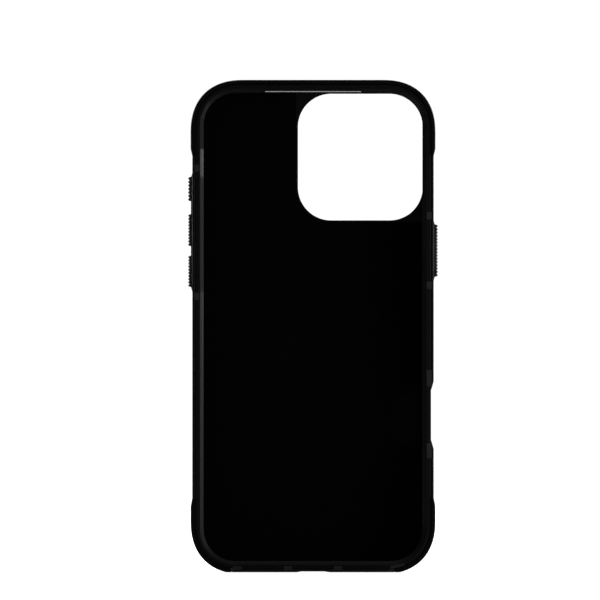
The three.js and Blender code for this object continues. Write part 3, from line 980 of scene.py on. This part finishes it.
def foot_zone(side, spare):
    """The stretch that a lower bumper covers, on the left or the right."""
    waist, beyond = FOOT_TOP + spare, TOP_HIGH.x + 2 * PAST
    low = -PAST if spare > 0 else 0
    end, inner = FOOT_LENGTH_END - spare, SHELL_HIGH.x - sizes().shell_wall - GAP
    wall = 2 * sizes().shell_wall
    right = [(end, low), (beyond, low), (beyond, waist - FOOT_FULL),
             (TOP_HIGH.x, waist - FOOT_FULL), (SHELL_HIGH.x, waist), (inner, waist),
             (inner - FLANGE_SLANT, waist - FLANGE_SLANT),
             (end - FLANGE_SLANT, waist - FLANGE_SLANT),
             (end - FLANGE_SLANT, wall + FLANGE_SLANT), (end, wall)]
    return [(side * x, y) for x, y in right]


def zone_prism(name, points):
    return prism(name, points, GUARD_LOW.z - PAST, TOP_HIGH.z + 2 * PAST)


def guard_room():
    """The hole in the back that takes the camera guard, with a gap all round."""
    return straight("guard_room", guard_outline().inset(-GAP), GUARD_LOW.z - PAST, TRAY_LOW.z)


def shell_blank():
    """The shell's back and walls as one solid, before its openings are cut."""
    inside = shell_outline().inset(sizes().shell_wall)
    outside = shell_outline()
    outside.bottom -= FOOT_FLAT
    back, rim = SHELL_LOW.z, SHELL_HIGH.z
    plate = back + SHELL_PLATE
    soft, edge = sizes().back_edge, sizes().rim_edge
    levels = [(outside.inset(3 * soft), back)]
    levels += rounded_edge(outside, soft, back + soft, soft, -90, 0, 10)
    levels += rounded_edge(outside, edge, rim - edge, edge, 0, 90)
    levels += [(inside.inset(-INNER_EDGE), rim), (inside, rim - INNER_EDGE)]
    levels += [(inside, plate), (inside.inset(soft), plate)]
    return loft("hard_shell_moulding", levels)


def scoop_cutters():
    """The thumb scoop beside the touch key and the shallow scoop under the port."""
    across, beyond = TOUCH_SCOOP["across"], SHELL_HIGH.x + PAST
    rise = TOUCH_SCOOP["slant"]
    low, high = GUARD_LOW.z - PAST, TOP_HIGH.z + PAST
    thumb = [(across, TOUCH_SCOOP["bottom"]), (beyond, TOUCH_SCOOP["bottom"] - rise),
             (beyond, TOUCH_SCOOP["top"] + rise), (across, TOUCH_SCOOP["top"])]
    half, floor, depth = PORT_SCOOP["half"], PORT_SCOOP["floor"], PORT_SCOOP["depth"]
    port = [(-half, -PAST), (half, -PAST), (half, 0), (floor, depth), (-floor, depth), (-half, 0)]
    return [prism("thumb_scoop", thumb, low, high), prism("port_scoop", port, low, high)]


def surround_windows():
    """Windows in the shell's side walls that take the button surrounds."""
    tools = []
    for node in BUTTONS:
        surround = WallPiece(node)
        outline = surround.outline(PAD_CORNER, GAP)
        inside = SHELL_HIGH.x - sizes().shell_wall - GAP
        tools.append(surround.loft(
            f"{node}_window", [(outline, inside), (outline, SHELL_HIGH.x + PAST)], steps=5))
    return tools


class CASE_OT_hard_shell(bpy.types.Operator):
    """Makes the hard outer shell, with its notches, windows and locking tabs"""

    bl_idname = "phone_case.hard_shell"
    bl_label = "Hard shell"

    def execute(self, context):
        shell = shell_blank()
        rim = SHELL_HIGH.z
        for name, points in (("top", top_zone(GAP)), ("left", foot_zone(-1, GAP)),
                             ("right", foot_zone(1, GAP))):
            cut(shell, common(bumper_room(), zone_prism(f"{name}_zone", points)))
        join(shell, *tab_prisms(0, rim - TAB_DEPTH, rim))
        for radius in (RING_INNER - RING_RELIEF, RING_OUTER + RING_RELIEF):
            cut(shell, ring_cutter("relief", radius - RELIEF_HALF, radius + RELIEF_HALF,
                                   SHELL_LOW.z - PAST, SHELL_LOW.z + RELIEF_DEPTH))
        wall = sizes().shell_wall
        below = Outline(2 * SHELL_LOW.x, 2 * SHELL_HIGH.x, -4 * PAST, 0, GAP)
        cut(shell, straight("below", below, SHELL_LOW.z - PAST, SHELL_HIGH.z + PAST),
            guard_room(), *port_cutters(wall + PAST, 0, 0),
            touch_key_cutter(SHELL_HIGH.x - wall - PAST, TOUCH_SCOOP["across"], MOUTH),
            *scoop_cutters(), *surround_windows())
        shade(shell, finish_of("shell"), finish_of("tab"))
        self.dress(shell)
        place(shell, body_of("hard_shell"), "smoke_polycarbonate", "hard_shell")
        return {"FINISHED"}

    def dress(self, shell):
        """Gives the locking tabs their paler tone, which is painted light standing in for light
        showing through them.
        """
        rim = SHELL_HIGH.z
        inside = shell_outline().inset(sizes().shell_wall)
        lower = BOTTOM_TAB_UP[1] + MM
        for polygon in shell.data.polygons:
            across, up, out = polygon.center.x, polygon.center.z, -polygon.center.y
            if out < rim - TAB_DEPTH - 0.01 * MM:
                continue
            beside = abs(across) < inside.right and up > SIDE_TABS_ABOVE
            below = (inside.bottom - FOOT_FLAT < up < lower
                     and abs(across) < LOWER_TABS_WITHIN)
            if beside or below:
                polygon.material_index = 1


# ---- Bumpers ---------------------------------------------------------------------------------

def bumper_ring():
    """The whole C-shaped ring that the three bumpers are cut from."""
    outside = bumper_outline()
    inside = shell_outline().inset(sizes().shell_wall)
    back, front = TOP_LOW.z, TOP_HIGH.z
    soft, flange = sizes().back_edge, sizes().bumper_flange
    flange_top = back + BUMPER_PLATE
    small, tiny = FLANGE_EDGE, INNER_EDGE
    start = math.degrees(math.asin(BUMPER_FRONT_EDGE / soft))
    levels = rounded_edge(outside, soft, back + soft, soft, -90, 0, 10)
    levels += rounded_edge(outside, soft, front - BUMPER_FRONT_EDGE, soft, 0, start, 6)
    levels += rounded_edge(inside, -tiny, front - tiny, tiny, 90, 180, 3)
    levels += [(inside, flange_top + tiny), (inside.inset(tiny), flange_top)]
    opening = outside.inset(flange)
    levels += rounded_edge(opening, -small, flange_top - small, small, 90, 180, 3)
    levels += rounded_edge(opening, -small, back + small, small, 180, 270, 3)
    return loft("bumper_ring", levels, closed=True)


class CASE_OT_bumpers(bpy.types.Operator):
    """Makes the bumper over the top and the two round the lower corners"""

    bl_idname = "phone_case.bumpers"
    bl_label = "Bumpers"

    def execute(self, context):
        zones = {
            "top_bumper": top_zone(0),
            "bottom_left_bumper": foot_zone(-1, 0),
            "bottom_right_bumper": foot_zone(1, 0),
        }
        for node, points in zones.items():
            bumper = common(bumper_ring(), zone_prism(f"{node}_zone", points))
            bumper.name = bumper.data.name = f"{node}_moulding"
            if node == "top_bumper":
                cut(bumper, guard_room())
            ease_edges(bumper, BUMPER_EASE)
            shade(bumper, finish_of("bumper"))
            place(bumper, body_of(node), "bumper_tpu", node)
        return {"FINISHED"}


# ---- Buttons ---------------------------------------------------------------------------------

def stem_solid(name, cap, spare, inside, outside):
    """The stem that carries a button's push through the tray's wall, or the passage for it."""
    button = WallPiece(cap)
    middle = (button.low.z + button.high.z) / 2
    half, margin = STEM["half"] + spare, STEM["margin"] - spare
    outline = Outline(middle - half, middle + half, button.low.y + margin,
                      button.high.y - margin, STEM["corner"] + spare)
    return button.loft(name, [(outline, inside), (outline, outside)], steps=5)


def cap_body(cap):
    """A button's cap without its ribs: a soft pillow on a straight skirt, with its stem."""
    button = WallPiece(cap)
    base, crown = button.near + CAP_BASE, button.far - sizes().tooth_height
    outline = button.outline(SHOULDER["corner"])
    levels = [(outline.inset(inset), base + above) for inset, above in CAP_SKIRT]
    steps = 8
    for step in range(steps + 1):
        angle = math.pi / 2 * step / steps
        closing = 1 - math.cos(angle)
        levels.append((outline.inset(SHOULDER["side"] * closing, SHOULDER["run"] * closing),
                       crown - SHOULDER["drop"] + SHOULDER["drop"] * math.sin(angle)))
    body = button.loft(f"{cap}_moulding", levels, steps=8)
    return join(body, stem_solid(f"{cap}_stem", cap, 0, button.near, base + 0.2 * MM))


def one_rib(name, half_width, half_length, height):
    """One rounded rib with blunt ends, its crest at the origin, lying along Y."""
    rows = []
    ends = 4
    section = RIB_FLANK + [(x, -z) for x, z in reversed(RIB_FLANK)] + RIB_ROOT
    for step in range(-ends, ends + 1):
        share = abs(step) / ends
        size = math.sqrt(max(1 - share ** 4, 0.05))
        along = math.copysign(half_length * share ** 0.6, step)
        rows.append([Vector((x * height * size - height, along, z * half_width * size))
                     for x, z in section])
    return new_piece(name, lambda work: skin(work, rows, False))


def rib_row_tree():
    """Geometry nodes that set ribs in a row up a button, sinking towards both of its ends."""
    tree = bpy.data.node_groups.new("Rib row", "GeometryNodeTree")
    add = tree.interface.new_socket
    add("Geometry", in_out="INPUT", socket_type="NodeSocketGeometry")
    for label in ("Bottom", "Top", "Crest", "Pitch", "Drop", "Run", "Depth"):
        add(label, in_out="INPUT", socket_type="NodeSocketFloat")
    add("Count", in_out="INPUT", socket_type="NodeSocketInt")
    add("Finish", in_out="INPUT", socket_type="NodeSocketMaterial")
    add("Geometry", in_out="OUTPUT", socket_type="NodeSocketGeometry")
    given, end = tree.nodes.new("NodeGroupInput").outputs, tree.nodes.new("NodeGroupOutput")

    def point(**parts):
        return add_node(tree, "ShaderNodeCombineXYZ", **parts).outputs[0]

    first = plus(tree, given["Bottom"], times(tree, given["Pitch"], 0.5))
    line = add_node(tree, "GeometryNodeMeshLine", Count=given["Count"],
                    Start_Location=point(X=given["Crest"], Y=given["Depth"], Z=first),
                    Offset=point(Z=given["Pitch"]))
    up = axis_of(tree, add_node(tree, "GeometryNodeInputPosition").outputs[0], "Z")
    from_end = math_node(tree, "MINIMUM", minus(tree, up, given["Bottom"]),
                         minus(tree, given["Top"], up))
    share = math_node(tree, "DIVIDE", from_end, given["Run"])
    closing = math_node(tree, "MAXIMUM", minus(tree, 1, share), 0)
    sink = times(tree, math_node(tree, "POWER", closing, 2), given["Drop"])
    inwards = times(tree, math_node(tree, "SIGN", given["Crest"]), times(tree, sink, -1))
    settled = add_node(tree, "GeometryNodeSetPosition", Geometry=line.outputs[0],
                       Offset=point(X=inwards))
    copies = add_node(tree, "GeometryNodeInstanceOnPoints", Points=settled.outputs[0],
                      Instance=given["Geometry"])
    real = add_node(tree, "GeometryNodeRealizeInstances", Geometry=copies.outputs[0])
    painted = add_node(tree, "GeometryNodeSetMaterial", Geometry=real.outputs[0],
                       Material=given["Finish"])
    feed(tree, end, Geometry=painted.outputs[0])
    return tree


def rib_row(cap, tree):
    """All the ribs of one button as one plain mesh."""
    button = WallPiece(cap)
    low, high = button.low, button.high
    count = round((high.y - low.y) / sizes().tooth_pitch)
    pitch = (high.y - low.y) / count
    half_length = (high.z - low.z) / 2 - SHOULDER["side"] * 0.55
    ribs = one_rib(f"{cap}_ribs", RIB["share"] * pitch, half_length, sizes().tooth_height)
    if button.side < 0:
        for vertex in ribs.data.vertices:
            vertex.co.x = -vertex.co.x
        ribs.data.flip_normals()
    modifier = ribs.modifiers.new("Rib row", "NODES")
    modifier.node_group = tree
    values = {
        "Bottom": low.y, "Top": high.y, "Crest": button.side * button.far, "Pitch": pitch,
        "Count": count,
        "Drop": RIB["drop"], "Run": RIB["run"], "Depth": -(low.z + high.z) / 2,
        "Finish": finish_of("button"),
    }
    for item in tree.interface.items_tree:
        if item.in_out == "INPUT" and item.name in values:
            modifier[item.identifier] = values[item.name]
    apply_modifiers(ribs)
    return ribs


class CASE_OT_buttons(bpy.types.Operator):
    """Makes the ribbed push buttons and the soft plungers behind them"""

    bl_idname = "phone_case.buttons"
    bl_label = "Buttons"

    def execute(self, context):
        tree = rib_row_tree()
        for caps in BUTTONS.values():
            for cap in caps:
                button = join(cap_body(cap), rib_row(cap, tree))
                shade(button, finish_of("button"))
                place(button, body_of(cap), "button_polycarbonate", cap)
                self.plunger(f"{cap}_plunger")
        return {"FINISHED"}

    def plunger(self, node):
        """The soft pad that passes the push on to the phone's own key."""
        low, high = drawn_box(node)
        outline = Outline(low.z, high.z, low.y, high.y, PAD_CORNER)
        edge = 0.15 * MM
        levels = rounded_edge(outline, edge, low.x + edge, edge, -90, 0, 3)
        levels += rounded_edge(outline, edge, high.x - edge, edge, 0, 90, 3)
        pad = loft(f"{node}_pad", levels, side_view, steps=6)
        shade(pad, finish_of("plunger"))
        place(pad, body_of(node), "plunger_tpu", node)


class CASE_OT_surrounds(bpy.types.Operator):
    """Makes the two raised surrounds that the push buttons move in"""

    bl_idname = "phone_case.surrounds"
    bl_label = "Button surrounds"

    def execute(self, context):
        for node, caps in BUTTONS.items():
            surround = self.raised(node)
            cut(surround, *[self.window(cap, WallPiece(node)) for cap in caps])
            shade(surround, finish_of("bumper"))
            place(surround, body_of(node), "bumper_tpu", node)
        return {"FINISHED"}

    def raised(self, node):
        """A block that fills its window in the shell and leans in above it."""
        pad, wall, ease = WallPiece(node), SHELL_HIGH.x, 0.1 * MM
        outline = pad.outline(SURROUND_CORNER)
        levels = [(outline.inset(ease), pad.near), (outline, pad.near + ease), (outline, wall)]
        for step in range(1, 5):
            rise = step / 5
            levels.append((outline.inset(0.12 * MM * rise, SURROUND_SLANT * rise),
                           wall + (pad.far - wall) * rise))
        for inset, share, below in SURROUND_EDGE:
            levels.append((outline.inset(inset, SURROUND_SLANT * share), pad.far - below))
        return pad.loft(f"{node}_moulding", levels, steps=8)

    def window(self, cap, pad):
        """The cutter for the opening that a button moves in."""
        button = WallPiece(cap)
        outline = button.outline(SHOULDER["corner"] + RUN_GAP, RUN_GAP)
        levels = flared(outline, pad.near - PAST, pad.far, WINDOW_MOUTH)
        return button.loft(f"{cap}_window", levels, steps=8)


# ---- Camera guard, lining and magnets --------------------------------------------------------

class CASE_OT_camera_guard(bpy.types.Operator):
    """Makes the raised frame that keeps the cameras off a table"""

    bl_idname = "phone_case.camera_guard"
    bl_label = "Camera guard"

    def execute(self, context):
        outside = guard_outline()
        inside = camera_outline()
        low, high = GUARD_LOW.z, GUARD_HIGH.z
        outer_edge, inner_edge, tiny = (GUARD_EDGES[edge] for edge in ("outer", "inner", "front"))
        levels = [(outside.inset(tiny), high), (outside, high - tiny)]
        levels += rounded_edge(outside, outer_edge, low + outer_edge, outer_edge, 0, -90, 6)
        levels += rounded_edge(inside, -inner_edge, low + inner_edge, inner_edge, -90, -180, 6)
        levels += [(inside, high - tiny), (inside.inset(-tiny), high)]
        guard = loft("camera_guard_frame", levels, closed=True)
        shade(guard, finish_of("guard"))
        place(guard, body_of("camera_guard"), "guard_polycarbonate", "camera_guard")
        return {"FINISHED"}


class CASE_OT_lining(bpy.types.Operator):
    """Makes the microfibre lining on the tray's back, cut round the cameras"""

    bl_idname = "phone_case.lining"
    bl_label = "Lining"

    def execute(self, context):
        outline = bay_outline().inset(LINING_MARGIN)
        back, front = LINING_LOW.z, LINING_HIGH.z
        edge = (front - back) / 3
        levels = [(outline.inset(edge), back), (outline, back + edge), (outline, front - edge),
                  (outline.inset(edge), front)]
        lining = loft("back_lining_microfibre", levels)
        notch = camera_outline().inset(-LINING_MARGIN)
        notch.right += NOTCH_PAST
        notch.top += NOTCH_PAST
        cut(lining, straight("camera_notch", notch, back - PAST, front + PAST))
        shade(lining, finish_of("lining"))
        place(lining, body_of("back_lining"), "lining_microfibre", "back_lining")
        return {"FINISHED"}


class CASE_OT_magnets(bpy.types.Operator):
    """Gives the magnets and the carrier that holds them their finishes"""

    bl_idname = "phone_case.magnets"
    bl_label = "Magnets"

    def execute(self, context):
        names = [f"magnet_{number + 1:02d}" for number in range(sizes().magnet_count)]
        for name in [*names, "alignment_magnet"]:
            self.paint(name, finish_of("nickel"))
        self.paint("magnet_carrier", finish_of("carrier"))
        return {"FINISHED"}

    def paint(self, name, material):
        for slot in frame["nodes"][name].material_slots:
            slot.material = material


# ---- Stage -----------------------------------------------------------------------------------

CAMERA_LENS = 500             # a long lens, as in a catalogue picture, in millimetres
CAMERA_SENSOR = 36
VIEW_WIDTH = 189.6 * MM       # what the camera takes in at the case
VIEW_MIDDLE = (-4.1 * MM, 85.8 * MM)

SOFTBOXES = {                 # place, aim, size, watts
    "Near softbox": ((0.46, -0.20, 0.172), (0, 0, 0.14), (0.20, 0.09), 0.26),
    "Low softbox": ((0.46, -0.20, 0.085), (0, 0, 0.085), (0.20, 0.06), 0.042),
    "Corner strip": ((0.18, -0.12, 0.028), (-0.03, 0, 0.145), (0.06, 0.06), 0.0078),
    "Top strip": ((0.0, -0.085, 0.75), (0, 0, 0.15), (0.2, 0.09), 0.17),
    "Overhead softbox": ((0.0, 0.42, 0.58), (0, 0, 0.1), (0.6, 0.3), 2.4),
    "Right softbox": ((0.52, 0.42, 0.30), (0, 0, 0.08), (0.16, 0.5), 2.0),
    "Left softbox": ((-0.50, 0.46, 0.30), (0, 0, 0.08), (0.16, 0.5), 2.0),
    "Back softbox": ((0.22, 0.80, 0.34), (0, 0, 0.07), (0.6, 0.3), 2.2),
}
STUDIO_LIGHT = (0.024, 0.10)  # the studio's own light, in front of the case and round its sides
STUDIO_FADE = (-0.75, 0.1)    # where it changes over, along the Y of the direction
BACKGROUND_WHITE = 1.05
FLOOR_HALF = 1.6
FLOOR_WHITE = 0.97            # what the camera sees of the floor where no shadow falls
FRONT_FLOOR = 0.3             # the floor in front gives back this share of what it does behind
FLOOR_FADE = (-0.03, 0.09)    # where it changes over, along Y


def camera_only(tree):
    """A mask that is 1 for what the camera sees directly."""
    return tree.nodes.new("ShaderNodeLightPath").outputs["Is Camera Ray"]


class CASE_OT_stage(bpy.types.Operator):
    """Sets the pale floor, the white background, the softboxes and the camera"""

    bl_idname = "phone_case.stage"
    bl_label = "Stage"

    def execute(self, context):
        self.background(context.scene)
        self.floor()
        for name, (where, aim, size, watts) in SOFTBOXES.items():
            self.softbox(name, Vector(where), Vector(aim), size, watts)
        self.camera(context.scene)
        context.scene.view_settings.view_transform = "Standard"
        return {"FINISHED"}

    def background(self, scene):
        """White where the camera looks past the case, and dim for all other light."""
        world = bpy.data.worlds.new("Studio")
        world.use_nodes = True
        tree = world.node_tree
        tree.nodes.clear()
        direction = add_node(tree, "ShaderNodeTexCoord").outputs["Generated"]
        light = map_range(tree, axis_of(tree, direction, "Y"), STUDIO_FADE, STUDIO_LIGHT)
        dim = add_node(tree, "ShaderNodeBackground", Color=(0.98, 0.99, 1, 1), Strength=light)
        white = add_node(tree, "ShaderNodeBackground", Color=(1, 1, 1, 1),
                         Strength=BACKGROUND_WHITE)
        mix = tree.nodes.new("ShaderNodeMixShader")
        for socket, source in zip(mix.inputs, (camera_only(tree), dim.outputs[0],
                                               white.outputs[0])):
            tree.links.new(source, socket)
        add_node(tree, "ShaderNodeOutputWorld", Surface=mix.outputs[0])
        scene.world = world

    def floor(self):
        """A wide pale floor that shows only a soft contact shadow."""
        corners = [Vector((x * FLOOR_HALF, y * FLOOR_HALF, 0))
                   for x, y in ((-1, -1), (1, -1), (1, 1), (-1, 1))]
        floor = new_piece("Floor", lambda work: work.faces.new([work.verts.new(corner)
                                                                for corner in corners]))
        material, tree, shader = new_material("Pale floor", 0.9)
        behind = map_range(tree, axis_of(tree, object_place(tree), "Y"), FLOOR_FADE, smooth=True)
        feed(tree, shader, Base_Color=tones(tree, behind, colours().floor, FRONT_FLOOR, 1),
             Specular_IOR_Level=0, Emission_Color=(1, 1, 1, 1),
             Emission_Strength=times(tree, camera_only(tree), FLOOR_WHITE))
        floor.data.materials.append(material)

    def softbox(self, name, where, aim, size, watts):
        light = bpy.data.lights.new(name, "AREA")
        light.shape = "RECTANGLE"
        light.size, light.size_y = size
        light.energy = watts
        box = bpy.data.objects.new(name, light)
        box.location = where
        box.rotation_euler = (where - aim).to_track_quat("Z", "Y").to_euler()
        box.visible_camera = False
        bpy.context.scene.collection.objects.link(box)

    def camera(self, scene):
        """Level with the case and square to its open side."""
        data = bpy.data.cameras.new("Camera")
        data.lens = CAMERA_LENS
        data.sensor_width = CAMERA_SENSOR
        data.clip_start, data.clip_end = 0.05, 30
        camera = bpy.data.objects.new("Camera", data)
        across, up = VIEW_MIDDLE
        away = VIEW_WIDTH * CAMERA_LENS / CAMERA_SENSOR
        camera.location = (across, -away, up)
        camera.rotation_euler = (math.pi / 2, 0, 0)
        scene.collection.objects.link(camera)
        scene.camera = camera


# ---- Add-on ----------------------------------------------------------------------------------

STEPS = (CASE_OT_stage, CASE_OT_soft_tray, CASE_OT_hard_shell, CASE_OT_bumpers, CASE_OT_surrounds,
         CASE_OT_buttons, CASE_OT_camera_guard, CASE_OT_lining, CASE_OT_magnets)


class CASE_PT_panel(bpy.types.Panel):
    """Lists the case's pieces with its sizes and colours"""

    bl_idname = "CASE_PT_panel"
    bl_label = "Phone case"
    bl_space_type = "VIEW_3D"
    bl_region_type = "UI"
    bl_category = "Phone case"

    def draw(self, context):
        column = self.layout.column(align=True)
        for step in STEPS:
            column.operator(step.bl_idname)
        for group in (context.scene.phone_case_sizes, context.scene.phone_case_colours):
            box = self.layout.box()
            for name in group.__annotations__:
                box.prop(group, name)


CLASSES = (CaseSizes, CaseColours, *STEPS, CASE_PT_panel)


def register():
    for cls in CLASSES:
        bpy.utils.register_class(cls)
    bpy.types.Scene.phone_case_sizes = PointerProperty(type=CaseSizes)
    bpy.types.Scene.phone_case_colours = PointerProperty(type=CaseColours)


def unregister():
    del bpy.types.Scene.phone_case_colours
    del bpy.types.Scene.phone_case_sizes
    for cls in reversed(CLASSES):
        bpy.utils.unregister_class(cls)


def main():
    register()
    for step in STEPS:
        group, name = step.bl_idname.split(".")
        getattr(getattr(bpy.ops, group), name)()


if __name__ == "__main__":
    main()
